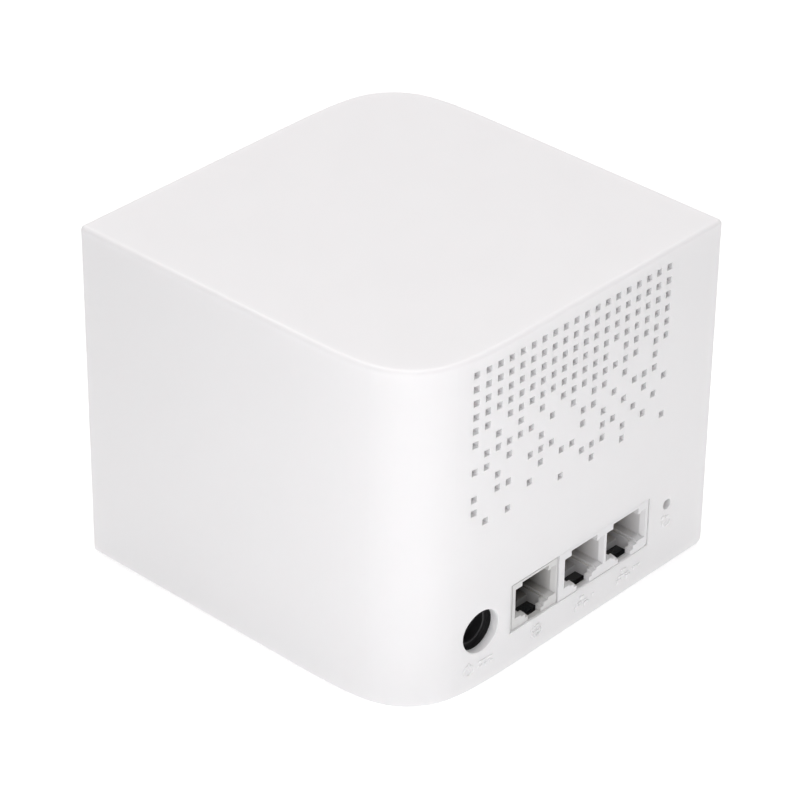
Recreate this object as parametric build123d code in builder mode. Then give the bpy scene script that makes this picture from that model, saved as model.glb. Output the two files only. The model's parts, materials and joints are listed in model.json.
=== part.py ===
from build123d import *
import math
import os

os.makedirs("parts", exist_ok=True)

# ---------------------------------------------------------------- dimensions
# Millimetres. +Z up, +Y is the connector side, -Y the status light side.
# The origin is on the table, under the middle of the housing.

# housing
size = 90.0                 # width and depth of the square housing
foot_stand = 0.8            # the housing edge stands this far above the table
shell_h = 77.0              # height of the one-piece housing
wall = 2.1                  # side wall
roof = 2.2                  # top wall
edge_v = 1.05               # radius of the two crisp upright corners
edge_top = 1.0              # radius of the rim of the top
edge_low = 2.4              # radius of the lower edge of the -X side

z0 = foot_stand             # lower edge of the housing
z1 = foot_stand + shell_h   # top of the housing

# the two big upright corners: arcs that tighten towards the diagonal
corner_start = 29.953       # where the curve leaves the flat side
arc_1, turn_1 = 163.154, 3.752
arc_2, turn_2 = 39.696, 9.369

# ventilation grid on the connector side
vent = 1.5
vent_pitch = 3.1075
vent_x0 = 27.55             # first column, nearest the big corner
vent_z0 = 73.10 + z0        # first row
vent_rows = (
    (0, 1, 2, 3, 4, 5, 6, 7, 8, 9, 10, 11, 12, 13, 14, 15, 16, 17, 18),
    (0, 1, 2, 3, 4, 5, 6, 7, 8, 9, 10, 11, 12, 13, 14, 15, 16, 17, 18),
    (0, 1, 2, 3, 4, 5, 6, 7, 8, 9, 10, 11, 12, 13, 14, 15, 16, 17, 18),
    (0, 1, 2, 3, 4, 5, 6, 7, 8, 9, 10, 11, 12, 13, 14, 15, 16, 17, 18),
    (0, 1, 3, 4, 5, 6, 7, 8, 9, 10, 11, 12, 14, 15, 16, 17, 18),
    (0, 2, 4, 6, 8, 9, 10, 11, 12, 13, 14, 15, 17, 18),
    (1, 2, 3, 4, 5, 7, 9, 11, 12, 14, 17),
    (0, 1, 3, 6, 10, 11, 13, 15, 16, 17),
    (2, 5, 6, 7, 10, 12, 14, 16, 18),
    (0, 2, 3, 6, 8, 9, 12, 13, 15, 17),
    (0, 5, 10, 11, 12, 14, 16),
    (1, 3, 8, 11, 14, 18),
)

# connector cut-out in the housing
cut_x0, cut_x1 = -26.3, 16.45
cut_z0, cut_z1 = 8.0 + z0, 19.55 + z0

# circuit board
board_t = 1.6
board_top = 7.5 + z0
board_bot = board_top - board_t
board_inset = 3.1

# network jacks: an 8-pin opening with the latch channel underneath
jack_depth = 16.2
jack_top = 19.35 + z0
jack_low = 8.05 + z0                    # underside of the part in the cut-out
jack_step_y = 43.5                      # behind this the jack reaches the board
wan_x0, wan_x1, wan_front = 1.85, 16.20, 44.55
lan_x0, lan_x1, lan_front = -26.05, 1.65, 44.85
port_half = 11.6 / 2
port_x = (8.5, -6.05, -19.0)            # WAN, LAN 1, LAN 2
port_z = (10.8 + z0, 17.5 + z0)        # plug opening
comb_half, comb_top = 4.0, 18.7 + z0   # contact slots over the plug opening
wan_comb_top = 18.35 + z0
step_1_half, step_1_z = 4.05, 10.3 + z0
step_2_half, step_2_z = 2.8, 9.45 + z0
slot_half, slot_z = 1.95, 8.2 + z0
lip_depth, slot_floor = 1.4, 1.0
latch_half, latch_end, latch_floor = 3.5, 5.0, 9.1 + z0
port_depth = 12.2
lead_far, lead_near, lead_drop = 0.5, 0.2, 0.3   # lead-in of the -X, +X and lower edges
wire_r = 0.22
wire_pitch = 1.02

# power jack
dc_x, dc_z = 24.6, 12.85 + z0
dc_hole_r, dc_hole_edge = 4.75, 0.2    # opening in the housing and its broken edge
dc_seat = 42.9                         # flat seat inside the housing wall
dc_collar = 42.8                       # front of the collar round the jack
dc_collar_r = 4.85
dc_face = 41.8                         # face of the jack inside the collar
dc_w, dc_len, dc_top = 10.8, 13.0, dc_z + 5.4
dc_bore_r, dc_bore_deep, dc_pin_r = 3.15, 9.0, 1.0
dc_mouth_r, dc_mouth_deep = 3.72, 2.2

# reset switch
rst_x, rst_z = -32.05, 15.3 + z0
rst_hole_r = 1.2
rst_travel = 0.25

# status light
led_x, led_z, led_r = 14.0, 16.0, 1.3
led_proud = 0.25

# fasteners
boss_xy = ((38.2, 25.0), (38.2, -25.0), (-38.2, 25.0), (-38.2, -25.0))
post_xy = ((-29.0, -31.0), (32.0, -34.0), (35.0, 12.0), (-35.0, 12.0))
foot_xy = ((29.5, 29.5), (35.0, -35.5), (-35.0, 35.5), (-29.5, -29.5))

# base
base_z0 = z0 + 0.3
base_t = 2.4
base_z1 = base_z0 + base_t

# antenna frame
deck_z0, deck_t = 66.0, 2.0
panel_z0 = 32.0
frame_inset = 7.6
panel_t = 1.4
ant_w, ant_h, ant_t = 12.0, 33.0, 0.8
ant_z0 = 28.0
lead_r = 0.565

# symbols raised on the connector side
relief = 0.25


# ------------------------------------------------------------------- helpers
def corner_arcs(inset):
    """Centre, radius, start angle and turn of the five arcs of the +X +Y corner."""
    h = size / 2
    x, y, a = h, h - corner_start, 0.0
    half = []
    for radius, turn in ((arc_1, turn_1), (arc_2, turn_2)):
        cx, cy = x - radius * math.cos(math.radians(a)), y - radius * math.sin(math.radians(a))
        half.append((cx, cy, radius - inset, a, turn))
        a += turn
        x, y = cx + radius * math.cos(math.radians(a)), cy + radius * math.sin(math.radians(a))
    # the middle arc's centre lies on the diagonal
    c, s = math.cos(math.radians(a)), math.sin(math.radians(a))
    radius = (x - y) / (c - s)
    cx, cy = x - radius * c, y - radius * s
    middle = (cx, cy, radius - inset, a, 90 - 2 * a)
    other = [(cy_, cx_, r_, 90 - a_ - t_, t_) for cx_, cy_, r_, a_, t_ in reversed(half)]
    return half + [middle] + other


def outline(inset, corner=0.0):
    """Draws the housing's outline, moved in by inset, into the line in progress."""
    h = size / 2 - inset
    s = size / 2 - corner_start
    r = corner
    Line((h, -h + r), (h, s))
    for cx, cy, radius, start, turn in corner_arcs(inset):
        CenterArc((cx, cy), radius, start, turn)
    Line((s, h), (-h + r, h))
    if r:
        CenterArc((-h + r, h - r), r, 90, 90)
    Line((-h, h - r), (-h, -s))
    for cx, cy, radius, start, turn in corner_arcs(inset):
        CenterArc((-cx, -cy), radius, start + 180, turn)
    Line((-s, -h), (h - r, -h))
    if r:
        CenterArc((h - r, -h + r), r, 270, 90)


def block(x0, x1, y0, y1, za, zb, mode=Mode.ADD):
    with Locations(((x0 + x1) / 2, (y0 + y1) / 2, (za + zb) / 2)):
        Box(x1 - x0, y1 - y0, zb - za, mode=mode)


def rod(x, y, za, zb, r, mode=Mode.ADD):
    """Upright cylinder."""
    with Locations((x, y, (za + zb) / 2)):
        Cylinder(r, zb - za, mode=mode)


def rod_y(x, z, ya, yb, r, mode=Mode.ADD):
    """Cylinder along Y."""
    with Locations((x, (ya + yb) / 2, z)):
        Cylinder(r, yb - ya, rotation=(90, 0, 0), mode=mode)


def rear_plane(y):
    """Sketch plane facing the connector side; local axes are X and Z."""
    return Plane.XZ.offset(-y)


# ------------------------------------------------------------ raised symbols
with BuildPart() as symbols:
    with BuildSketch(rear_plane(46.0)):
        # power input: a bar over a broken bar, beside a ring with a stroke
        with Locations((23.3, 5.7 + z0)):
            Rectangle(3.8, 0.4)
        with Locations((21.8, 4.6 + z0), (23.3, 4.6 + z0), (24.8, 4.6 + z0)):
            Rectangle(0.8, 0.4)
        with Locations((27.9, 4.9 + z0)):
            Circle(1.35)
            Circle(0.96, mode=Mode.SUBTRACT)
        with Locations((27.9, 6.2 + z0)):
            Rectangle(1.05, 1.0, mode=Mode.SUBTRACT)
        with Locations((27.9, 5.9 + z0)):
            Rectangle(0.38, 1.5)
        # internet: a globe
        with Locations((8.3, 4.6 + z0)):
            Circle(1.6)
            Circle(1.28, mode=Mode.SUBTRACT)
            Ellipse(0.88, 1.42)
            Ellipse(0.56, 1.26, mode=Mode.SUBTRACT)
            Rectangle(2.9, 0.3)
        # local network: one box linked to two, with one or two dots
        for cx in (-5.6, -18.8):
            with Locations((cx, 5.55 + z0)):
                Rectangle(1.4, 1.0)
            with Locations((cx - 1.4, 3.55 + z0), (cx + 1.4, 3.55 + z0)):
                Rectangle(1.4, 1.0)
            with Locations((cx, 4.8 + z0)):
                Rectangle(0.3, 0.7)
            with Locations((cx, 4.55 + z0)):
                Rectangle(3.1, 0.3)
            with Locations((cx - 1.4, 4.2 + z0), (cx + 1.4, 4.2 + z0)):
                Rectangle(0.3, 0.6)
        with Locations((-9.2, 4.5 + z0)):
            Circle(0.45)
        with Locations((-22.2, 4.5 + z0), (-23.6, 4.5 + z0)):
            Circle(0.45)
        # reset: an arrow bent into a ring
        with Locations((-32.05, 11.1 + z0)):
            Circle(1.35)
            Circle(0.98, mode=Mode.SUBTRACT)
        with Locations((-31.2, 12.0 + z0)):
            Rectangle(1.0, 1.0, mode=Mode.SUBTRACT)
        with BuildLine():
            Polyline((-31.4, 13.0 + z0), (-31.4, 11.6 + z0), (-30.3, 12.3 + z0), close=True)
        make_face()
    extrude(amount=3.0)
    with BuildSketch(Plane.XY.offset(z0)):
        with BuildLine():
            outline(-relief)
        make_face()
    extrude(amount=30.0, mode=Mode.INTERSECT)

# ------------------------------------------------------------- outer housing
with BuildPart() as outer_housing:
    with BuildSketch(Plane.XY.offset(z0)):
        with BuildLine():
            outline(0.0, edge_v)
        make_face()
    extrude(amount=shell_h)
    fillet(outer_housing.faces().sort_by(Axis.Z)[-1].edges(), edge_top)
    with BuildSketch(Plane.XY.offset(z0)):
        with BuildLine():
            outline(wall)
        make_face()
    extrude(amount=shell_h - roof, mode=Mode.SUBTRACT)
    # softened lower edge of the -X side
    with BuildSketch(rear_plane(50.0)):
        with Locations((-size / 2 - 2 + edge_low / 2, z0 - 2 + edge_low / 2)):
            Rectangle(4 + edge_low, 4 + edge_low)
        with Locations((-size / 2 + edge_low, z0 + edge_low)):
            Circle(edge_low, mode=Mode.SUBTRACT)
    extrude(amount=100.0, mode=Mode.SUBTRACT)
    # screw bosses with their webs to the side walls
    for bx, by in boss_xy:
        sx = 1 if bx > 0 else -1
        rod(bx, by, base_z1, 17.0, 3.2)
        block(min(bx, sx * 43.6), max(bx, sx * 43.6), by - 0.8, by + 0.8, base_z1, 17.0)
        rod(bx, by, base_z1 - 0.1, 13.0, 1.55, mode=Mode.SUBTRACT)
    # stiffening ribs under the roof
    for ry in (-28.0, 28.0):
        block(-24.0, 24.0, ry - 0.6, ry + 0.6, z1 - roof - 2.4, z1 - roof + 0.1)
    for rx in (-30.0, 30.0):
        block(rx - 0.6, rx + 0.6, -18.0, 18.0, z1 - roof - 2.4, z1 - roof + 0.1)
    # upright ribs that stop the antenna frame from rattling
    for rx in (-12.0, 16.0):
        block(rx - 0.6, rx + 0.6, -43.2, -38.6, 58.0, z1 - roof + 0.1)
    for sx in (-1, 1):
        for ry in (-12.0, 10.0):
            block(min(sx * 38.6, sx * 43.2), max(sx * 38.6, sx * 43.2), ry - 0.6, ry + 0.6, 62.5, z1 - roof + 0.1)
    # connector cut-out
    block(cut_x0, cut_x1, 41.0, 46.0, cut_z0, cut_z1, mode=Mode.SUBTRACT)
    block(cut_x0, cut_x1, 41.0, jack_step_y + 0.1, board_top - 0.1, cut_z0 + 0.1, mode=Mode.SUBTRACT)
    # flat seat and round opening for the power jack
    block(dc_x - 5.7, dc_x + 5.7, 40.0, dc_seat, 6.5, dc_top + 0.6, mode=Mode.SUBTRACT)
    rod_y(dc_x, dc_z, 41.0, 46.0, dc_hole_r, mode=Mode.SUBTRACT)
    fillet(
        outer_housing.edges()
        .filter_by(lambda e: e.geom_type != GeomType.LINE)
        .filter_by(
            lambda e: abs(math.hypot((e @ 0).X - dc_x, (e @ 0).Z - dc_z) - dc_hole_r) < 0.02
            and abs(math.hypot((e @ 0.37).X - dc_x, (e @ 0.37).Z - dc_z) - dc_hole_r) < 0.02
            and (e @ 0.37).Y > dc_seat + 0.5
        ),
        dc_hole_edge,
    )
    # reset opening and light opening
    rod_y(rst_x, rst_z, 41.0, 46.0, rst_hole_r, mode=Mode.SUBTRACT)
    rod_y(led_x, led_z, -46.0, -41.0, led_r + 0.1, mode=Mode.SUBTRACT)
    # ventilation grid
    with BuildSketch(rear_plane(46.0)):
        with Locations(
            [
                (vent_x0 - c * vent_pitch, vent_z0 - r * vent_pitch)
                for r, row in enumerate(vent_rows)
                for c in row
            ]
        ):
            Rectangle(vent, vent)
    extrude(amount=5.0, mode=Mode.SUBTRACT)
    add(symbols.part)
outer_housing.part.label = "outer_housing"

# ---------------------------------------------------------------- base cover
with BuildPart() as base_cover:
    with BuildSketch(Plane.XY.offset(base_z0)):
        with BuildLine():
            outline(wall + 0.15)
        make_face()
    extrude(amount=base_t)
    chamfer(base_cover.faces().sort_by(Axis.Z)[0].edges(), 0.4)
    # standoffs for the board
    for px, py in post_xy:
        rod(px, py, base_z1 - 0.1, board_bot, 3.0)
        rod(px, py, base_z0 + 1.4, board_bot + 0.1, 1.27, mode=Mode.SUBTRACT)
    # screw holes with seats for the heads
    for bx, by in boss_xy:
        rod(bx, by, base_z0 - 0.1, base_z1 + 0.1, 1.6, mode=Mode.SUBTRACT)
        rod(bx, by, base_z0 - 0.1, base_z0 + 1.3, 3.0, mode=Mode.SUBTRACT)
    # foot pockets
    for fx, fy in foot_xy:
        rod(fx, fy, base_z0 - 0.1, base_z0 + 1.0, 4.6, mode=Mode.SUBTRACT)
    # air slots in two fields, with the label seat between them
    for sy in (-1, 1):
        with BuildSketch(Plane.XY.offset(base_z0 - 0.1)):
            with Locations((0.0, sy * 24.0)):
                with GridLocations(4.0, 1.0, 9, 1):
                    SlotOverall(16.0, 1.8, rotation=90)
        extrude(amount=base_t + 0.2, mode=Mode.SUBTRACT)
    block(-21.0, 21.0, -11.5, 11.5, base_z0 - 0.1, base_z0 + 0.25, mode=Mode.SUBTRACT)
    # tabs that centre the housing
    block(-10.0, 0.0, -42.6, -41.3, base_z1 - 0.1, 6.4)
    block(-6.0, 4.0, 41.3, 42.6, base_z1 - 0.1, 6.4)
    block(41.3, 42.6, -8.0, 4.0, base_z1 - 0.1, 6.4)
    block(-42.6, -41.3, -8.0, 4.0, base_z1 - 0.1, 6.4)
base_cover.part.label = "base_cover"

with BuildPart() as rubber_feet:
    for fx, fy in foot_xy:
        rod(fx, fy, 0.0, base_z0 + 1.0, 4.5)
    chamfer(rubber_feet.faces().filter_by(Axis.Z).group_by(Axis.Z)[0].edges(), 0.35)
rubber_feet.part.label = "rubber_feet"

with BuildPart() as base_screws:
    for bx, by in boss_xy:
        rod(bx, by, base_z0 + 0.15, base_z0 + 1.3, 2.75)
        rod(bx, by, base_z0 + 1.2, 11.6, 1.5)
        block(bx - 1.5, bx + 1.5, by - 0.35, by + 0.35, base_z0 + 0.1, base_z0 + 0.85, mode=Mode.SUBTRACT)
        block(bx - 0.35, bx + 0.35, by - 1.5, by + 1.5, base_z0 + 0.1, base_z0 + 0.85, mode=Mode.SUBTRACT)
base_screws.part.label = "base_screws"

with BuildPart() as blank_label:
    block(-20.8, 20.8, -11.3, 11.3, base_z0 + 0.1, base_z0 + 0.25)
    fillet(blank_label.edges().filter_by(Axis.Z), 1.2)
blank_label.part.label = "blank_label"

# --------------------------------------------------------------- main board
pin_xy = ((-4.0 - 11.5, 4.0 + 11.5), (-4.0 + 11.5, 4.0 - 11.5))
with BuildPart() as main_board:
    with BuildSketch(Plane.XY.offset(board_bot)):
        with BuildLine():
            outline(board_inset)
        make_face()
    extrude(amount=board_t)
    for bx, by in boss_xy:
        sx = 1 if bx > 0 else -1
        rod(bx, by, board_bot - 1, board_top + 1, 4.1, mode=Mode.SUBTRACT)
        block(min(bx, sx * 44), max(bx, sx * 44), by - 4.1, by + 4.1, board_bot - 1, board_top + 1, mode=Mode.SUBTRACT)
    for px, py in post_xy:
        rod(px, py, board_bot - 1, board_top + 1, 1.5, mode=Mode.SUBTRACT)
    for px, py in pin_xy:
        rod(px, py, board_bot - 1, board_top + 1, 1.6, mode=Mode.SUBTRACT)
main_board.part.label = "main_board"

with BuildPart() as board_screws:
    for px, py in post_xy:
        rod(px, py, board_top + 2.0, board_top + 3.7, 2.5)
        rod(px, py, base_z0 + 1.9, board_top + 2.1, 1.25)
        block(px - 1.4, px + 1.4, py - 0.3, py + 0.3, board_top + 2.9, board_top + 3.8, mode=Mode.SUBTRACT)
        block(px - 0.3, px + 0.3, py - 1.4, py + 1.4, board_top + 2.9, board_top + 3.8, mode=Mode.SUBTRACT)
board_screws.part.label = "board_screws"


# ------------------------------------------------------------- network jacks
def port_cavity(cx, front, top=comb_top):
    """Cuts one plug opening into the part in progress."""
    deep = front - port_depth
    block(cx - port_half, cx + port_half, deep, front + 1, port_z[0], port_z[1], mode=Mode.SUBTRACT)
    block(cx - comb_half, cx + comb_half, deep, front + 1, port_z[1] - 0.1, top, mode=Mode.SUBTRACT)
    block(cx - step_1_half, cx + step_1_half, deep, front + 1, step_1_z, port_z[0] + 0.1, mode=Mode.SUBTRACT)
    block(cx - step_2_half, cx + step_2_half, front - lip_depth - 0.1, front + 1, step_2_z, step_1_z + 0.1, mode=Mode.SUBTRACT)
    block(cx - slot_half, cx + slot_half, front - lip_depth - 0.1, front + 1, slot_z, step_2_z + 0.1, mode=Mode.SUBTRACT)
    block(cx - slot_half, cx + slot_half, front - lip_depth - 0.1, front - slot_floor, board_top - 0.1, slot_z + 0.1, mode=Mode.SUBTRACT)
    block(cx - latch_half, cx + latch_half, front - latch_end, front - lip_depth, board_top - 0.1, step_1_z + 0.1, mode=Mode.SUBTRACT)
    block(cx - latch_half, cx + latch_half, front - 9.6, front - lip_depth, latch_floor, step_1_z + 0.1, mode=Mode.SUBTRACT)
    # lead-in of the lower ledges on both sides
    for side in (-1, 1):
        for half_a, half_b, z in (
            (step_1_half, port_half + 0.2, port_z[0]),
            (step_2_half, step_1_half, step_1_z),
            (slot_half, step_2_half, step_2_z),
        ):
            xa = min(cx + side * half_a, cx + side * half_b)
            with BuildSketch(Plane.YZ.offset(xa)) as slope:
                with BuildLine():
                    Polyline(
                        (front - 1.2, z + 0.02), (front + 0.2, z + 0.02),
                        (front + 0.2, z - lead_drop * 1.17), close=True,
                    )
                make_face()
            extrude(slope.sketch, amount=half_b - half_a, mode=Mode.SUBTRACT)
    # lead-in of the two upright edges
    for side, wide in ((-1, lead_far), (1, lead_near)):
        with BuildSketch(Plane.XY.offset(port_z[0] - 0.3)) as slope:
            with BuildLine():
                Polyline(
                    (cx + side * (port_half - 0.02), front - wide * 2.2),
                    (cx + side * (port_half - 0.02), front + 0.2),
                    (cx + side * (port_half + wide * 1.15), front + 0.2), close=True,
                )
            make_face()
        extrude(slope.sketch, amount=port_z[1] - port_z[0] + 0.3, mode=Mode.SUBTRACT)
    # rib that hangs beside the contact slots
    block(cx - comb_half - 0.85, cx - comb_half, front - 1.7, front - 0.15, port_z[1] - 0.5, port_z[1] + 0.05)
    # seat for the black contact carrier behind the opening
    block(cx - port_half + 0.15, cx + port_half - 0.15, front - jack_depth - 1, deep + 0.1, board_top - 0.1, top, mode=Mode.SUBTRACT)


def port_comb(cx, front, top=comb_top):
    """Thin dividers between the eight contact wires."""
    for k in range(7):
        x = cx + (k - 3) * wire_pitch
        block(x - 0.17, x + 0.17, front - 4.2, front - 1.7, port_z[1] - 0.05, top + 0.05)


def contact_wires(cx, front, top=comb_top):
    """Eight contact wires: along the roof, round the nose and back down."""
    for k in range(8):
        x = cx + (k - 3.5) * wire_pitch
        with BuildLine():
            path = FilletPolyline(
                (x, front - port_depth, top - 0.35),
                (x, front - 1.3, top - 0.35),
                (x, front - 9.6, top - 4.3),
                radius=0.42,
            )
        with BuildSketch(Plane(origin=path @ 0, z_dir=path % 0)) as section:
            Circle(wire_r)
        sweep(sections=section.sketch, path=path)


with BuildPart() as wan_jack_housing:
    block(wan_x0, wan_x1, wan_front - jack_depth, wan_front, jack_low, jack_top)
    block(wan_x0, wan_x1, wan_front - jack_depth, jack_step_y, board_top, jack_low + 1.1)
    port_cavity(port_x[0], wan_front, wan_comb_top)
    port_comb(port_x[0], wan_front, wan_comb_top)
    # line moulded round the face
    block(15.35, 15.52, wan_front - 0.35, wan_front + 1, jack_low - 0.1, 19.04 + z0, mode=Mode.SUBTRACT)
    block(wan_x0 - 0.1, 15.52, wan_front - 0.35, wan_front + 1, 18.87 + z0, 19.04 + z0, mode=Mode.SUBTRACT)
wan_jack_housing.part.label = "wan_jack_housing"

with BuildPart() as lan_jack_housing:
    block(lan_x0, lan_x1, lan_front - jack_depth, lan_front, jack_low, jack_top)
    fillet(
        lan_jack_housing.edges().filter_by(Axis.Y).sort_by(Axis.X)[:2].sort_by(Axis.Z)[0], 1.0
    )
    block(lan_x0, lan_x1, lan_front - jack_depth, jack_step_y, board_top, jack_low + 1.1)
    for cx in port_x[1:]:
        port_cavity(cx, lan_front)
        port_comb(cx, lan_front)
lan_jack_housing.part.label = "lan_jack_housing"

with BuildPart() as wan_contact_carrier:
    cx, yb = port_x[0], wan_front - port_depth
    block(cx - port_half + 0.2, cx + port_half - 0.2, wan_front - jack_depth + 0.1, yb, board_top, wan_comb_top - 0.05)
    for k in range(8):
        x = cx + (k - 3.5) * wire_pitch
        block(x - 0.3, x + 0.3, yb - 0.8, yb + 0.1, port_z[0] + 1.2, wan_comb_top - 1.2, mode=Mode.SUBTRACT)
wan_contact_carrier.part.label = "wan_contact_carrier"

with BuildPart() as lan_contact_carriers:
    for cx in port_x[1:]:
        yb = lan_front - port_depth
        block(cx - port_half + 0.2, cx + port_half - 0.2, lan_front - jack_depth + 0.1, yb, board_top, comb_top - 0.05)
        for k in range(8):
            x = cx + (k - 3.5) * wire_pitch
            block(x - 0.3, x + 0.3, yb - 0.8, yb + 0.1, port_z[0] + 1.2, comb_top - 1.2, mode=Mode.SUBTRACT)
lan_contact_carriers.part.label = "lan_contact_carriers"

with BuildPart() as wan_jack_contacts:
    contact_wires(port_x[0], wan_front, wan_comb_top)
wan_jack_contacts.part.label = "wan_jack_contacts"

with BuildPart() as lan_jack_contacts:
    for cx in port_x[1:]:
        contact_wires(cx, lan_front)
lan_jack_contacts.part.label = "lan_jack_contacts"

# ---------------------------------------------------------------- power jack
with BuildPart() as dc_jack_body:
    block(dc_x - dc_w / 2, dc_x + dc_w / 2, dc_face - dc_len, dc_collar, board_top, dc_top)
    fillet(dc_jack_body.edges().filter_by(Axis.Y).group_by(Axis.Z)[-1], 2.4)
    # collar that lines the back of the housing opening
    rod_y(dc_x, dc_z, dc_face, dc_collar + 1, dc_collar_r, mode=Mode.SUBTRACT)
    rod_y(dc_x, dc_z, dc_face - dc_bore_deep, dc_face + 1, dc_bore_r, mode=Mode.SUBTRACT)
    # wider mouth of the bore, with a small chamfer
    rod_y(dc_x, dc_z, dc_face - dc_mouth_deep, dc_face + 1, dc_mouth_r, mode=Mode.SUBTRACT)
    with Locations((dc_x, dc_face - 0.075, dc_z)):
        Cone(dc_mouth_r, dc_mouth_r + 0.15, 0.15, rotation=(-90, 0, 0), mode=Mode.SUBTRACT)
    # seat of the centre pin and slot of the spring
    rod_y(dc_x, dc_z, dc_face - dc_len - 1, dc_face - dc_bore_deep + 0.1, dc_pin_r, mode=Mode.SUBTRACT)
    block(dc_x - 1.3, dc_x + 1.3, dc_face - 9.0, dc_face - 2.4, board_top - 0.1, dc_z - dc_bore_r + 0.3, mode=Mode.SUBTRACT)
dc_jack_body.part.label = "dc_jack_body"

with BuildPart() as dc_jack_pin:
    rod_y(dc_x, dc_z, dc_face - dc_len - 0.6, dc_face - 1.2, dc_pin_r)
    fillet(dc_jack_pin.faces().sort_by(Axis.Y)[-1].edges(), 0.6)
dc_jack_pin.part.label = "dc_jack_pin"

with BuildPart() as dc_jack_spring:
    with BuildSketch(Plane.YZ.offset(dc_x - 1.1)):
        with BuildLine():
            Polyline(
                (dc_face - 8.8, board_top),
                (dc_face - 8.4, board_top),
                (dc_face - 8.4, dc_z - dc_bore_r - 0.2),
                (dc_face - 5.4, dc_z - dc_bore_r + 0.35),
                (dc_face - 3.0, dc_z - dc_bore_r - 0.5),
                (dc_face - 2.8, dc_z - dc_bore_r - 0.2),
                (dc_face - 5.4, dc_z - dc_bore_r + 0.7),
                (dc_face - 8.8, dc_z - dc_bore_r + 0.1),
                close=True,
            )
        make_face()
    extrude(amount=2.2)
dc_jack_spring.part.label = "dc_jack_spring"

# -------------------------------------------------------------- reset switch
with BuildPart() as reset_switch_body:
    block(rst_x - 3.0, rst_x + 3.0, 36.5, 40.0, rst_z - 3.0, rst_z + 3.0)
    fillet(reset_switch_body.edges().filter_by(Axis.Y), 0.6)
    rod_y(rst_x, rst_z, 37.0, 38.95, 2.2, mode=Mode.SUBTRACT)
    rod_y(rst_x, rst_z, 38.9, 40.1, 1.07, mode=Mode.SUBTRACT)
reset_switch_body.part.label = "reset_switch_body"

with BuildPart() as reset_switch_stem:
    rod_y(rst_x, rst_z, 38.2, 38.9, 1.9)
    rod_y(rst_x, rst_z, 38.8, 42.3, 1.0)
    chamfer(reset_switch_stem.faces().sort_by(Axis.Y)[-1].edges(), 0.2)
reset_switch_stem.part.label = "reset_switch_stem"

with BuildPart() as reset_switch_dome:
    with Locations((rst_x, 37.75 - 2.91, rst_z)):
        Sphere(2.91)
        Sphere(2.78, mode=Mode.SUBTRACT)
    block(rst_x - 2.6, rst_x + 2.6, 37.0, 39.0, rst_z - 2.6, rst_z + 2.6, mode=Mode.INTERSECT)
reset_switch_dome.part.label = "reset_switch_dome"

with BuildPart() as reset_switch_bracket:
    block(rst_x - 3.4, rst_x + 3.4, 36.1, 36.5, board_top, rst_z + 3.0)
    block(rst_x - 3.4, rst_x - 3.0, 36.1, 39.8, board_top, rst_z + 1.8)
    block(rst_x + 3.0, rst_x + 3.4, 36.1, 39.8, board_top, rst_z + 1.8)
reset_switch_bracket.part.label = "reset_switch_bracket"

with BuildPart() as reset_switch_terminals:
    for dx in (-2.25, 2.25):
        block(rst_x + dx - 0.35, rst_x + dx + 0.35, 37.6, 38.0, board_top, rst_z - 3.0)
reset_switch_terminals.part.label = "reset_switch_terminals"

# -------------------------------------------------------------- status light
with BuildPart() as led_light_guide:
    block(led_x - 1.5, led_x + 1.5, -40.2, -37.2, board_top + 1.6, led_z + 1.5)
    chamfer(
        led_light_guide.edges().filter_by(Axis.X).group_by(Axis.Z)[-1].sort_by(Axis.Y)[-1], 2.4
    )
    rod_y(led_x, led_z, -size / 2 - led_proud, -40.1, led_r)
    fillet(led_light_guide.faces().sort_by(Axis.Y)[0].edges(), 0.12)
    block(led_x - 3.0, led_x + 3.0, -42.8, -41.8, led_z - 2.4, led_z + 2.4)
led_light_guide.part.label = "led_light_guide"

with BuildPart() as status_led:
    block(led_x - 1.6, led_x + 1.6, -40.1, -37.3, board_top, board_top + 0.7)
    rod(led_x, -38.7, board_top + 0.6, board_top + 1.1, 1.1)
status_led.part.label = "status_led"

# --------------------------------------------------------- board components
soc_x, soc_y = -4.0, 4.0
with BuildPart() as main_processor:
    block(soc_x - 7, soc_x + 7, soc_y - 7, soc_y + 7, board_top, board_top + 1.3)
    chamfer(main_processor.faces().sort_by(Axis.Z)[-1].edges(), 0.15)
main_processor.part.label = "main_processor"

with BuildPart() as thermal_pad:
    block(soc_x - 6.5, soc_x + 6.5, soc_y - 6.5, soc_y + 6.5, board_top + 1.3, board_top + 2.3)
thermal_pad.part.label = "thermal_pad"

with BuildPart() as heatsink:
    block(soc_x - 14, soc_x + 14, soc_y - 14, soc_y + 14, board_top + 2.3, board_top + 4.3)
    for k in range(9):
        x = soc_x + (k - 4) * 3.3
        block(x - 0.55, x + 0.55, soc_y - 14, soc_y + 14, board_top + 4.2, board_top + 13.0)
    for px, py in pin_xy:
        rod(px, py, board_top + 4.3, board_top + 14.0, 3.6, mode=Mode.SUBTRACT)
        rod(px, py, board_top + 2.0, board_top + 5.0, 1.6, mode=Mode.SUBTRACT)
heatsink.part.label = "heatsink"

with BuildPart() as heatsink_pins:
    for px, py in pin_xy:
        rod(px, py, board_bot - 1.6, board_top + 4.4, 1.5)
        rod(px, py, board_top + 4.3, board_top + 5.9, 3.0)
        with Locations((px, py, board_bot - 0.9)):
            Cone(1.2, 2.0, 1.4)
heatsink_pins.part.label = "heatsink_pins"

with BuildPart() as memory_chip:
    block(13.0, 21.0, -1.5, 11.0, board_top, board_top + 1.1)
    chamfer(memory_chip.faces().sort_by(Axis.Z)[-1].edges(), 0.12)
memory_chip.part.label = "memory_chip"

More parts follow.
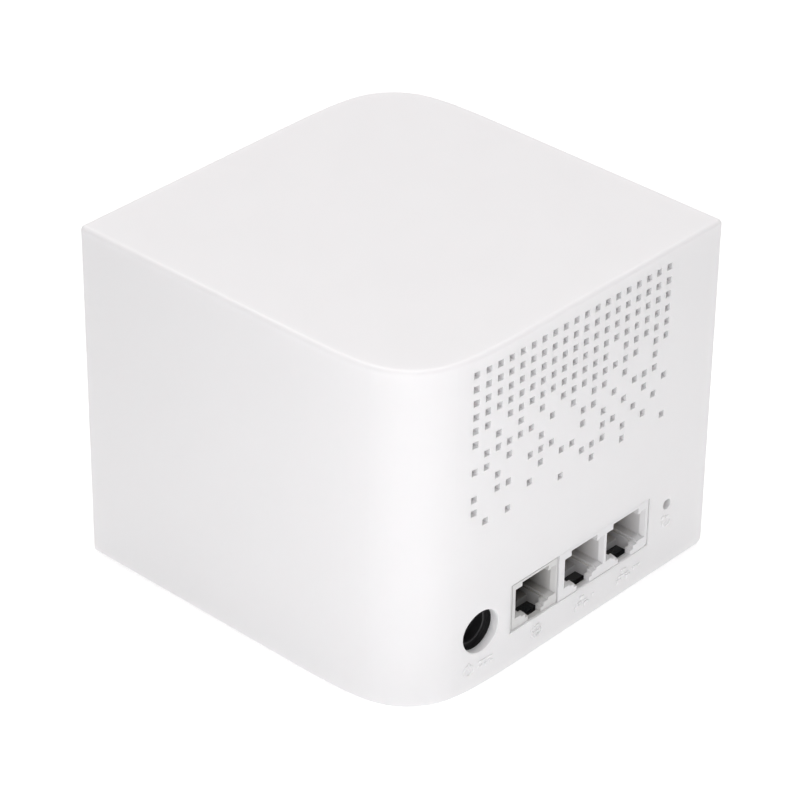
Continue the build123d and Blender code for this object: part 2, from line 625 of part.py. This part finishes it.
with BuildPart() as flash_chip:
    block(13.6, 18.8, -10.6, -5.4, board_top + 0.1, board_top + 1.9)
    for k in range(4):
        y = -8.0 + (k - 1.5) * 1.27
        block(12.4, 13.7, y - 0.2, y + 0.2, board_top, board_top + 0.25)
        block(18.7, 20.0, y - 0.2, y + 0.2, board_top, board_top + 0.25)
flash_chip.part.label = "flash_chip"

with BuildPart() as radio_chips:
    block(-13.8, -6.8, -25.0, -18.0, board_top, board_top + 0.9)
    block(-3.8, 2.2, -24.5, -18.5, board_top, board_top + 0.9)
radio_chips.part.label = "radio_chips"

with BuildPart() as radio_shield_frame:
    block(-17.8, 4.2, -29.5, -14.5, board_top, board_top + 1.8)
    block(-17.55, 3.95, -29.25, -14.75, board_top - 0.1, board_top + 1.55, mode=Mode.SUBTRACT)
    block(-16.3, -7.4, -28.0, -16.0, board_top + 1.0, board_top + 2.0, mode=Mode.SUBTRACT)
    block(-6.2, 2.7, -28.0, -16.0, board_top + 1.0, board_top + 2.0, mode=Mode.SUBTRACT)
radio_shield_frame.part.label = "radio_shield_frame"

with BuildPart() as radio_shield_cover:
    block(-18.1, 4.5, -29.8, -14.2, board_top + 0.5, board_top + 2.1)
    fillet(radio_shield_cover.edges().filter_by(Axis.Z), 0.5)
    block(-17.85, 4.25, -29.55, -14.45, board_top + 0.4, board_top + 1.8, mode=Mode.SUBTRACT)
    with GridLocations(3.0, 3.0, 6, 4):
        with Locations((-6.8, -22.0, board_top + 1.9)):
            Cylinder(0.5, 1.0, mode=Mode.SUBTRACT)
radio_shield_cover.part.label = "radio_shield_cover"

with BuildPart() as ethernet_transformers:
    for tx in port_x:
        block(tx - 5.0, tx + 5.0, 19.0, 25.8, board_top + 0.2, board_top + 4.2)
        for k in range(6):
            x = tx + (k - 2.5) * 1.6
            block(x - 0.25, x + 0.25, 17.6 + 0.8, 19.1, board_top, board_top + 0.5)
            block(x - 0.25, x + 0.25, 25.7, 26.4, board_top, board_top + 0.5)
ethernet_transformers.part.label = "ethernet_transformers"

with BuildPart() as filter_capacitors:
    for kx, ky, kr, kh in ((24.5, 22.0, 4.0, 11.5), (31.8, 20.5, 3.15, 9.5)):
        rod(kx, ky, board_top, board_top + kh, kr)
    fillet(filter_capacitors.faces().filter_by(Axis.Z).edges(), 0.5)
    # safety score on the lids
    for kx, ky, kr, kh in ((24.5, 22.0, 4.0, 11.5), (31.8, 20.5, 3.15, 9.5)):
        block(kx - kr * 0.7, kx + kr * 0.7, ky - 0.15, ky + 0.15, board_top + kh - 0.2, board_top + kh + 1, mode=Mode.SUBTRACT)
        block(kx - 0.15, kx + 0.15, ky - kr * 0.7, ky + kr * 0.7, board_top + kh - 0.2, board_top + kh + 1, mode=Mode.SUBTRACT)
filter_capacitors.part.label = "filter_capacitors"

with BuildPart() as power_inductors:
    for ix, iy in ((25.3, 2.5), (23.8, -8.0)):
        block(ix - 3.2, ix + 3.2, iy - 3.2, iy + 3.2, board_top, board_top + 3.0)
    fillet(power_inductors.edges().filter_by(Axis.Z), 0.8)
power_inductors.part.label = "power_inductors"

with BuildPart() as clock_crystals:
    for kx, ky in ((-24.0, 4.0), (9.5, -14.5)):
        block(kx - 1.6, kx + 1.6, ky - 1.25, ky + 1.25, board_top, board_top + 0.75)
    fillet(clock_crystals.edges().filter_by(Axis.Z), 0.3)
clock_crystals.part.label = "clock_crystals"

# -------------------------------------------------------------- antenna frame
fh = size / 2 - frame_inset
with BuildPart() as antenna_frame:
    with BuildSketch(Plane.XY.offset(deck_z0)):
        with BuildLine():
            outline(frame_inset)
        make_face()
        with Locations((0, 15.0), (0, -15.0)):
            RectangleRounded(46, 20, 3, mode=Mode.SUBTRACT)
    extrude(amount=deck_t)
    # panels that hang from the deck and carry the antennas
    block(fh - panel_t, fh, -18.0, 6.0, panel_z0, deck_z0 + 0.1)
    block(-fh, -fh + panel_t, -18.0, 6.0, panel_z0, deck_z0 + 0.1)
    block(-4.0, 20.0, -fh, -fh + panel_t, panel_z0, deck_z0 + 0.1)
    block(6.0, 30.0, fh - panel_t, fh, panel_z0 + 4, deck_z0 + 0.1)
    block(fh - panel_t - 1, fh + 1, -13.0, 1.0, 40.0, 54.0, mode=Mode.SUBTRACT)
    block(-fh - 1, -fh + panel_t + 1, -13.0, 1.0, 40.0, 54.0, mode=Mode.SUBTRACT)
    block(1.0, 15.0, -fh - 1, -fh + panel_t + 1, 40.0, 54.0, mode=Mode.SUBTRACT)
    block(11.0, 25.0, fh - panel_t - 1, fh + 1, 42.0, 54.0, mode=Mode.SUBTRACT)
    # legs: a foot pad on the board under each screw, and a post beside it
    for px, py in post_xy:
        sx = 1 if px > 0 else -1
        xa, xb = px - sx * 10.0, px + sx * 3.4
        block(min(xa, xb), max(xa, xb), py - 3.4, py + 3.4, board_top, board_top + 2.0)
        xp = px - sx * 7.2
        block(xp - 2.4, xp + 2.4, py - 2.4, py + 2.4, board_top + 1.9, deck_z0 + 0.1)
        rod(px, py, board_top - 1, board_top + 3.0, 1.5, mode=Mode.SUBTRACT)
    # pegs that locate the antennas
    for zz in (37.0, 57.5):
        for py_, sx in ((-6.0, 1), (-6.0, -1)):
            with Locations((sx * (fh + 0.6), py_, zz)):
                Cylinder(0.9, 1.4, rotation=(0, 90, 0))
        with Locations((8.0, -(fh + 0.6), zz)):
            Cylinder(0.9, 1.4, rotation=(90, 0, 0))
    for zz in (39.5, 57.5):
        with Locations((18.35, fh + 0.6, zz)):
            Cylinder(0.9, 1.4, rotation=(90, 0, 0))
antenna_frame.part.label = "antenna_frame"


# ------------------------------------------------------------------ antennas
def antenna_plate(z_holes, x0, x1, y0, y1, along_x):
    """Thin board with two locating holes; along_x says which way it faces."""
    block(x0, x1, y0, y1, ant_z0, ant_z0 + ant_h)
    for zz in z_holes:
        with Locations(((x0 + x1) / 2, (y0 + y1) / 2, zz)):
            Cylinder(0.95, 4.0, rotation=(0, 90, 0) if along_x else (90, 0, 0), mode=Mode.SUBTRACT)


with BuildPart() as antenna_right:
    antenna_plate((37.0, 57.5), fh, fh + ant_t, -12.0, 0.0, True)
antenna_right.part.label = "antenna_right"

with BuildPart() as antenna_left:
    antenna_plate((37.0, 57.5), -fh - ant_t, -fh, -12.0, 0.0, True)
antenna_left.part.label = "antenna_left"

with BuildPart() as antenna_front:
    antenna_plate((37.0, 57.5), 2.0, 14.0, -fh - ant_t, -fh, False)
antenna_front.part.label = "antenna_front"

with BuildPart() as antenna_rear:
    antenna_plate((39.5, 57.5), 12.35, 24.35, fh, fh + ant_t, False)
antenna_rear.part.label = "antenna_rear"

# ------------------------------------------------- antenna plugs and leads
lead_z = board_top + 2.1
plug_r, plug_h = 1.2, 1.3
sockets = {
    "right": (28.5, -6.0, 1, 0),
    "left": (-28.5, -6.0, -1, 0),
    "front": (8.0, -30.0, 0, -1),
    "rear": (18.35, 21.5, 0, 1),
}
with BuildPart() as antenna_sockets:
    for sx, sy, dx, dy in sockets.values():
        block(sx - 1.3, sx + 1.3, sy - 1.3, sy + 1.3, board_top, board_top + 0.5)
        rod(sx, sy, board_top + 0.4, board_top + 1.4, 0.9)
antenna_sockets.part.label = "antenna_sockets"

with BuildPart() as antenna_plugs:
    for sx, sy, dx, dy in sockets.values():
        rod(sx, sy, board_top + 0.9, board_top + 0.9 + 1.9, 1.25)
        block(
            min(sx, sx + dx * 2.6) - abs(dy) * 0.8, max(sx, sx + dx * 2.6) + abs(dy) * 0.8,
            min(sy, sy + dy * 2.6) - abs(dx) * 0.8, max(sy, sy + dy * 2.6) + abs(dx) * 0.8,
            lead_z - 0.7, lead_z + 0.7,
        )
        rod(sx, sy, board_top + 0.8, board_top + 1.45, 0.95, mode=Mode.SUBTRACT)
antenna_plugs.part.label = "antenna_plugs"


def lead_route(key):
    sx, sy, dx, dy = sockets[key]
    run = fh - lead_r - 0.12
    top = panel_z0 - 0.4
    if dx:
        return [(sx + dx * 2.6, sy, lead_z), (dx * run, sy, lead_z), (dx * run, sy, top)]
    return [(sx, sy + dy * 2.6, lead_z), (sx, dy * run, lead_z), (sx, dy * run, top)]


with BuildPart() as antenna_lead_right:
    with BuildLine():
        path = FilletPolyline(*lead_route("right"), radius=3.0)
    with BuildSketch(Plane(origin=path @ 0, z_dir=path % 0)):
        Circle(lead_r)
    sweep(path=path)
antenna_lead_right.part.label = "antenna_lead_right"

with BuildPart() as antenna_lead_left:
    with BuildLine():
        path = FilletPolyline(*lead_route("left"), radius=3.0)
    with BuildSketch(Plane(origin=path @ 0, z_dir=path % 0)):
        Circle(lead_r)
    sweep(path=path)
antenna_lead_left.part.label = "antenna_lead_left"

with BuildPart() as antenna_lead_front:
    with BuildLine():
        path = FilletPolyline(*lead_route("front"), radius=3.0)
    with BuildSketch(Plane(origin=path @ 0, z_dir=path % 0)):
        Circle(lead_r)
    sweep(path=path)
antenna_lead_front.part.label = "antenna_lead_front"

with BuildPart() as antenna_lead_rear:
    with BuildLine():
        path = FilletPolyline(*lead_route("rear"), radius=4.0)
    with BuildSketch(Plane(origin=path @ 0, z_dir=path % 0)):
        Circle(lead_r)
    sweep(path=path)
antenna_lead_rear.part.label = "antenna_lead_rear"

# -------------------------------------------------------------------- export
pieces = (
    outer_housing, base_cover, rubber_feet, base_screws, blank_label,
    main_board, board_screws,
    wan_jack_housing, wan_contact_carrier, wan_jack_contacts,
    lan_jack_housing, lan_contact_carriers, lan_jack_contacts,
    dc_jack_body, dc_jack_pin, dc_jack_spring,
    reset_switch_body, reset_switch_stem, reset_switch_dome,
    reset_switch_bracket, reset_switch_terminals,
    led_light_guide, status_led,
    main_processor, thermal_pad, heatsink, heatsink_pins,
    memory_chip, flash_chip, radio_chips, radio_shield_frame, radio_shield_cover,
    ethernet_transformers, filter_capacitors, power_inductors, clock_crystals,
    antenna_frame, antenna_right, antenna_left, antenna_front, antenna_rear,
    antenna_sockets, antenna_plugs,
    antenna_lead_right, antenna_lead_left, antenna_lead_front, antenna_lead_rear,
)
for piece in pieces:
    export_step(piece.part, "parts/" + piece.part.label + ".step")
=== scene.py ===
import json
import math

import bpy
from mathutils import Matrix, Vector

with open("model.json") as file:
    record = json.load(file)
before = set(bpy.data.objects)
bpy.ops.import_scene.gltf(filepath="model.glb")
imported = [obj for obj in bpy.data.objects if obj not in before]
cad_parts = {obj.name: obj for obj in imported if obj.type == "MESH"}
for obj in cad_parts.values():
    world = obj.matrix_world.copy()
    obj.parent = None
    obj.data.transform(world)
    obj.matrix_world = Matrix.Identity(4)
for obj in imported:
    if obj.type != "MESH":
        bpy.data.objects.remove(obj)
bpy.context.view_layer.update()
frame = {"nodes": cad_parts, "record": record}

scene = bpy.context.scene
nodes = frame["nodes"]
MM = 0.001


# ------------------------------------------------------------------ camera
def camera():
    az, el, roll = math.radians(132.356), math.radians(32.418), math.radians(0.753)
    back = Vector((math.sin(az) * math.cos(el), -math.cos(az) * math.cos(el), math.sin(el)))
    right = Vector((math.cos(az), math.sin(az), 0.0))
    up = back.cross(right)
    r = right * math.cos(roll) + up * math.sin(roll)
    u = back.cross(r)
    data = bpy.data.cameras.new("camera")
    data.sensor_fit = "HORIZONTAL"
    data.sensor_width = 36.0
    data.lens = 36.0 * 3599.8 / 800.0
    data.dof.use_dof = False
    data.clip_start, data.clip_end = 0.02, 20.0
    cam = bpy.data.objects.new("camera", data)
    scene.collection.objects.link(cam)
    place = Vector((0.00006, 0.0, 0.0363)) + back * 0.7314
    m = Matrix((
        (r.x, u.x, back.x, place.x),
        (r.y, u.y, back.y, place.y),
        (r.z, u.z, back.z, place.z),
        (0.0, 0.0, 0.0, 1.0),
    ))
    cam.matrix_world = m
    scene.camera = cam


camera()


# --------------------------------------------------------------- materials
class Mat:
    """A node material with a small vocabulary: noise, ramp, mix, bump."""

    def __init__(self, name, color, rough=0.5, metal=0.0, **sockets):
        self.m = bpy.data.materials.new(name)
        self.m.use_nodes = True
        self.t = self.m.node_tree
        self.t.nodes.clear()
        self.out = self.t.nodes.new("ShaderNodeOutputMaterial")
        self.b = self.t.nodes.new("ShaderNodeBsdfPrincipled")
        self.t.links.new(self.b.outputs["BSDF"], self.out.inputs["Surface"])
        self.b.inputs["Base Color"].default_value = (*color, 1.0)
        self.b.inputs["Roughness"].default_value = rough
        self.b.inputs["Metallic"].default_value = metal
        for k, v in sockets.items():
            self.b.inputs[k.replace("_", " ")].default_value = v
        self.color, self.rough = color, rough
        self.coord = self.t.nodes.new("ShaderNodeTexCoord").outputs["Object"]
        self.height = None

    def new(self, kind, **props):
        n = self.t.nodes.new(kind)
        for k, v in props.items():
            setattr(n, k, v)
        return n

    def link(self, a, b):
        self.t.links.new(a, b)

    def scaled(self, sx, sy, sz, rot=(0, 0, 0)):
        n = self.new("ShaderNodeMapping")
        n.inputs["Scale"].default_value = (sx, sy, sz)
        n.inputs["Rotation"].default_value = rot
        self.link(self.coord, n.inputs["Vector"])
        return n.outputs["Vector"]

    def noise(self, per_mm, detail=2.0, rough=0.5, vector=None, distortion=0.0):
        n = self.new("ShaderNodeTexNoise")
        n.inputs["Scale"].default_value = per_mm * 1000.0
        n.inputs["Detail"].default_value = detail
        n.inputs["Roughness"].default_value = rough
        n.inputs["Distortion"].default_value = distortion
        self.link(vector or self.coord, n.inputs["Vector"])
        return n.outputs["Fac"]

    def voronoi(self, per_mm, feature="F1", vector=None, out="Distance"):
        n = self.new("ShaderNodeTexVoronoi", feature=feature)
        n.inputs["Scale"].default_value = per_mm * 1000.0
        self.link(vector or self.coord, n.inputs["Vector"])
        return n.outputs[out]

    def span(self, fac, lo, hi, a=0.0, b=1.0):
        n = self.new("ShaderNodeMapRange")
        n.inputs["From Min"].default_value = lo
        n.inputs["From Max"].default_value = hi
        n.inputs["To Min"].default_value = a
        n.inputs["To Max"].default_value = b
        self.link(fac, n.inputs["Value"])
        return n.outputs["Result"]

    def math(self, op, a, b=0.0, clamp=False):
        n = self.new("ShaderNodeMath", operation=op, use_clamp=clamp)
        for i, v in enumerate((a, b)):
            if hasattr(v, "is_linked"):
                self.link(v, n.inputs[i])
            else:
                n.inputs[i].default_value = v
        return n.outputs[0]

    def mix(self, fac, a, b):
        n = self.new("ShaderNodeMix", data_type="RGBA")
        self.link(fac, n.inputs["Factor"])
        for s, v in ((n.inputs[6], a), (n.inputs[7], b)):
            if hasattr(v, "is_linked"):
                self.link(v, s)
            else:
                s.default_value = (*v, 1.0)
        return n.outputs[2]

    def paint(self, color):
        self.link(color, self.b.inputs["Base Color"])
        return self

    def roughness(self, value):
        self.link(value, self.b.inputs["Roughness"])
        return self

    def tint(self, amount, per_mm=0.05, color=None):
        """Slow variation of the colour, by amount of its value."""
        c = color or self.color
        dark = tuple(max(0.0, x * (1 - amount)) for x in c)
        light = tuple(min(1.0, x * (1 + amount)) for x in c)
        f = self.span(self.noise(per_mm, 3.0), 0.3, 0.7)
        self.paint(self.mix(f, dark, light))
        return self

    def gloss(self, amount, per_mm=0.15):
        f = self.span(self.noise(per_mm, 4.0), 0.25, 0.75, max(0.02, self.rough - amount), min(1.0, self.rough + amount))
        self.roughness(f)
        return self

    def bump(self, height, depth_mm, strength=1.0):
        n = self.new("ShaderNodeBump")
        n.inputs["Strength"].default_value = strength
        n.inputs["Distance"].default_value = depth_mm * MM
        self.link(height, n.inputs["Height"])
        if self.height is not None:
            self.link(self.height, n.inputs["Normal"])
        self.height = n.outputs["Normal"]
        self.link(self.height, self.b.inputs["Normal"])
        return self

    def axis(self, i):
        n = self.new("ShaderNodeSeparateXYZ")
        self.link(self.coord, n.inputs[0])
        return n.outputs[i]


def moulded(name, color, rough, grain=5.0, depth=0.012, tint=0.012, gloss=0.05, ior=1.5, **s):
    """Moulded plastic: spark-eroded grain over a slow sink-mark swell."""
    m = Mat(name, color, rough, IOR=ior, **s)
    m.tint(tint).gloss(gloss)
    m.bump(m.noise(grain, 2.0, 0.6), depth)
    m.bump(m.noise(0.06, 2.0, 0.4), 0.04, 0.4)
    return m


def metal(name, color, rough, brushed=None, grain=12.0, depth=0.003, gloss=0.08):
    m = Mat(name, color, rough, 1.0)
    m.tint(0.05, 0.3).gloss(gloss, 0.6)
    v = m.scaled(*brushed) if brushed else None
    m.bump(m.noise(grain, 3.0, 0.6, v), depth)
    return m


def socket_shell(name, color, painted_shade_color, front, bend, **s):
    """Socket moulding with painted shade: darker the further it lies behind its front."""
    m = moulded(name, color, 0.34, 7.0, 0.005, 0.010, 0.05, **s)
    # painted shade: the colour darkens with depth behind the front, standing in for shadow inside the socket
    depth = m.span(m.axis(1), front - 0.0085, front - 0.0008)
    depth = m.math("POWER", depth, bend)
    f = m.span(m.noise(0.05, 3.0), 0.3, 0.7, 0.985, 1.0)
    m.paint(m.mix(m.math("MULTIPLY", depth, f), painted_shade_color, color))
    return m


mats = {}
mats["housing_white"] = moulded("housing_white", (0.845, 0.840, 0.848), 0.42, 4.0, 0.010, 0.004, 0.04,
                                Subsurface_Weight=0.6, Subsurface_Scale=0.0022, Subsurface_Radius=(1.0, 0.95, 0.95))
# painted light: a paler colour on the wall of the power opening, standing in for the light that falls on it
m = mats["housing_white"]
away = m.math("SQRT", m.math("ADD", m.math("POWER", m.math("SUBTRACT", m.axis(0), 0.0246), 2.0),
                             m.math("POWER", m.math("SUBTRACT", m.axis(2), 0.01365), 2.0)))
painted_light_mask = m.math("MULTIPLY", m.math("LESS_THAN", away, 0.00482), m.math("GREATER_THAN", m.axis(1), 0.040))
m.paint(m.mix(painted_light_mask, m.b.inputs["Base Color"].links[0].from_socket, (0.98, 0.975, 0.99)))
mats["base_white"] = moulded("base_white", (0.80, 0.80, 0.80), 0.55, 2.6, 0.022, 0.012, 0.05)
# the third colour of each socket is painted shade, reached deep inside the opening
mats["jack_white"] = socket_shell("jack_white", (0.80, 0.80, 0.81), (0.27, 0.268, 0.275), 0.04485, 0.9)
mats["jack_grey"] = socket_shell("jack_grey", (0.68, 0.68, 0.675), (0.016, 0.016, 0.016), 0.04455, 1.35)
mats["jack_black"] = moulded("jack_black", (0.018, 0.018, 0.019), 0.45, 6.0, 0.008, 0.1, 0.06)
mats["black_plastic"] = moulded("black_plastic", (0.016, 0.016, 0.017), 0.38, 5.0, 0.010, 0.1, 0.07)
mats["stem_plastic"] = moulded("stem_plastic", (0.34, 0.34, 0.34), 0.45, 6.0, 0.008)
mats["frame_plastic"] = moulded("frame_plastic", (0.72, 0.72, 0.71), 0.52, 3.0, 0.018, 0.015)
mats["pin_nylon"] = moulded("pin_nylon", (0.74, 0.73, 0.68), 0.48, 3.0, 0.010, 0.02, 0.06, 1.53)
mats["foot_rubber"] = moulded("foot_rubber", (0.22, 0.22, 0.225), 0.82, 3.5, 0.035, 0.08, 0.06)

m = metal("contact_gold", (0.83, 0.60, 0.24), 0.22, None, 8.0, 0.002); mats["contact_gold"] = m
m = metal("connector_gold", (0.80, 0.60, 0.28), 0.28, None, 6.0, 0.003); mats["connector_gold"] = m
mats["nickel"] = metal("nickel", (0.66, 0.65, 0.62), 0.20, None, 5.0, 0.003)
mats["spring_steel"] = metal("spring_steel", (0.58, 0.58, 0.58), 0.30, (1, 1, 12), 2.0, 0.004)
mats["screw_steel"] = metal("screw_steel", (0.52, 0.52, 0.53), 0.36, None, 5.0, 0.008)
mats["shield_tin"] = metal("shield_tin", (0.62, 0.62, 0.60), 0.34, (1, 14, 1), 1.2, 0.005)
mats["sink_aluminium"] = metal("sink_aluminium", (0.62, 0.63, 0.64), 0.42, (20, 1, 1), 0.7, 0.008)
mats["crystal_can"] = metal("crystal_can", (0.66, 0.66, 0.64), 0.26, (1, 8, 1), 2.0, 0.003)

# label: film with printed frame and blank fields
m = Mat("label_film", (0.70, 0.70, 0.69), 0.38)
m.bump(m.noise(0.5, 3.0), 0.01)
m.gloss(0.05)
x, y = m.axis(0), m.axis(1)
ax, ay = m.math("ABSOLUTE", x), m.math("ABSOLUTE", y)
ed = m.math("MAXIMUM", m.math("SUBTRACT", ax, 0.0194), m.math("SUBTRACT", ay, 0.0099))
line = m.math("LESS_THAN", m.math("ABSOLUTE", ed), 0.00012)
rows = m.math("LESS_THAN", m.math("ABSOLUTE", m.math("SUBTRACT", m.math("PINGPONG", y, 0.0022), 0.0011)), 0.00006)
inside = m.math("MULTIPLY", rows, m.math("LESS_THAN", ed, -0.0022))
ink = m.math("MAXIMUM", line, inside)
m.paint(m.mix(ink, (0.70, 0.70, 0.69), (0.32, 0.32, 0.33)))
mats["label_film"] = m

# circuit board: solder mask over fibre weave
m = Mat("board_black", (0.012, 0.013, 0.014), 0.30, Coat_Weight=0.25, Coat_Roughness=0.18)
weave = m.math("MULTIPLY", m.math("SINE", m.math("MULTIPLY", m.axis(0), 9000.0)), m.math("SINE", m.math("MULTIPLY", m.axis(1), 9000.0)))
m.bump(weave, 0.004)
tr = m.voronoi(0.35, "DISTANCE_TO_EDGE", m.scaled(1, 1, 0.02))
m.bump(m.span(tr, 0.03, 0.06), 0.02)
m.paint(m.mix(m.span(tr, 0.03, 0.06), (0.008, 0.009, 0.010), (0.016, 0.018, 0.019)))
m.gloss(0.06, 0.4)
mats["board_black"] = m

m = Mat("chip_black", (0.022, 0.022, 0.023), 0.55)
m.tint(0.12, 0.5).gloss(0.08, 0.6)
m.bump(m.voronoi(9.0), 0.006)
mats["chip_black"] = m

m = Mat("pad_grey", (0.30, 0.33, 0.37), 0.75)
m.tint(0.1, 0.4).bump(m.noise(3.0, 4.0), 0.03)
mats["pad_grey"] = m

m = Mat("capacitor_can", (0.55, 0.56, 0.58), 0.34, 1.0)
m.gloss(0.08, 0.8)
m.bump(m.noise(3.0, 3.0, 0.6, m.scaled(1, 1, 10)), 0.004)
mats["capacitor_can"] = m

m = Mat("ferrite", (0.05, 0.05, 0.053), 0.62)
m.tint(0.18, 0.8).bump(m.noise(4.0, 5.0, 0.65), 0.03)
mats["ferrite"] = m

m = Mat("antenna_board", (0.030, 0.033, 0.036), 0.36, Coat_Weight=0.2, Coat_Roughness=0.2)
m.gloss(0.06, 0.4)
m.bump(m.math("SINE", m.math("MULTIPLY", m.axis(2), 9000.0)), 0.003)
m.tint(0.10, 0.25)
mats["antenna_board"] = m

m = Mat("lead_black", (0.020, 0.020, 0.021), 0.42)
m.tint(0.15, 0.6).gloss(0.08, 0.8).bump(m.noise(3.0, 3.0), 0.01)
mats["lead_black"] = m

m = Mat("light_guide", (0.90, 0.92, 0.93), 0.28, Transmission_Weight=0.75, IOR=1.49)
m.gloss(0.08, 0.8).bump(m.noise(5.0, 2.0), 0.01)
mats["light_guide"] = m

m = Mat("led_lens", (0.88, 0.80, 0.42), 0.25, IOR=1.5)
m.tint(0.06, 0.8).gloss(0.06, 1.0).bump(m.noise(5.0, 2.0), 0.005)
mats["led_lens"] = m

slot_of = {p["node"]: p["material_slot"] for p in frame["record"]["subparts"]}
for name, o in nodes.items():
    mat = mats[slot_of[name]].m
    if not o.material_slots:
        o.data.materials.append(mat)
    for s in o.material_slots:
        s.link = "OBJECT"
        s.material = mat

# ------------------------------------------------------------------- stage
WORLD = 0.25
FLOOR = 0.36
LIGHTS = (
    # name, place, target, width, height, watts, colour
    ("near", (0.205, 0.185, 0.105), (0.03, 0.03, 0.038), 0.15, 0.13, 0.190, (1.0, 0.985, 1.0)),
    ("over_key", (0.18, 0.16, 0.55), (0.0, 0.0, 0.05), 0.40, 0.40, 0.54, (1.0, 0.985, 0.985)),
    ("overhead", (-0.10, -0.15, 0.70), (0.0, 0.0, 0.07), 0.60, 0.60, 3.40, (1.0, 0.975, 0.975)),
    ("right_fill", (-0.20, 0.60, 0.25), (0.0, 0.0, 0.04), 0.40, 0.40, 0.216, (1.0, 0.99, 0.99)),
)

me = bpy.data.meshes.new("floor")
h = 3.0
drop = -0.00003             # keeps the floor clear of the undersides of the feet
me.from_pydata([(-h, -h, drop), (h, -h, drop), (h, h, drop), (-h, h, drop)], [], [(0, 1, 2, 3)])
floor = bpy.data.objects.new("floor", me)
scene.collection.objects.link(floor)
fm = Mat("floor_white", (0.92, 0.92, 0.92), 0.9)
fm.tint(0.003, 0.002)
fm.b.inputs["Specular IOR Level"].default_value = 0.0
fm.b.inputs["Emission Color"].default_value = (1, 1, 1, 1)
fm.b.inputs["Emission Strength"].default_value = FLOOR
me.materials.append(fm.m)

world = bpy.data.worlds.new("world")
scene.world = world
world.use_nodes = True
bg = world.node_tree.nodes.get("Background") or world.node_tree.nodes.new("ShaderNodeBackground")
wo = world.node_tree.nodes.get("World Output") or world.node_tree.nodes.new("ShaderNodeOutputWorld")
world.node_tree.links.new(bg.outputs[0], wo.inputs[0])
bg.inputs["Color"].default_value = (1, 1, 1, 1)
bg.inputs["Strength"].default_value = WORLD

for name, place, target, w, h, watts, colour in LIGHTS:
    d = bpy.data.lights.new(name, "AREA")
    d.shape = "RECTANGLE"
    d.size, d.size_y = w, h
    d.energy = watts
    d.color = colour
    o = bpy.data.objects.new(name, d)
    scene.collection.objects.link(o)
    o.location = place
    o.rotation_euler = (Vector(target) - Vector(place)).to_track_quat("-Z", "Y").to_euler()
    o.visible_camera = False

scene.view_settings.view_transform = "Standard"
scene.view_settings.look = "None"
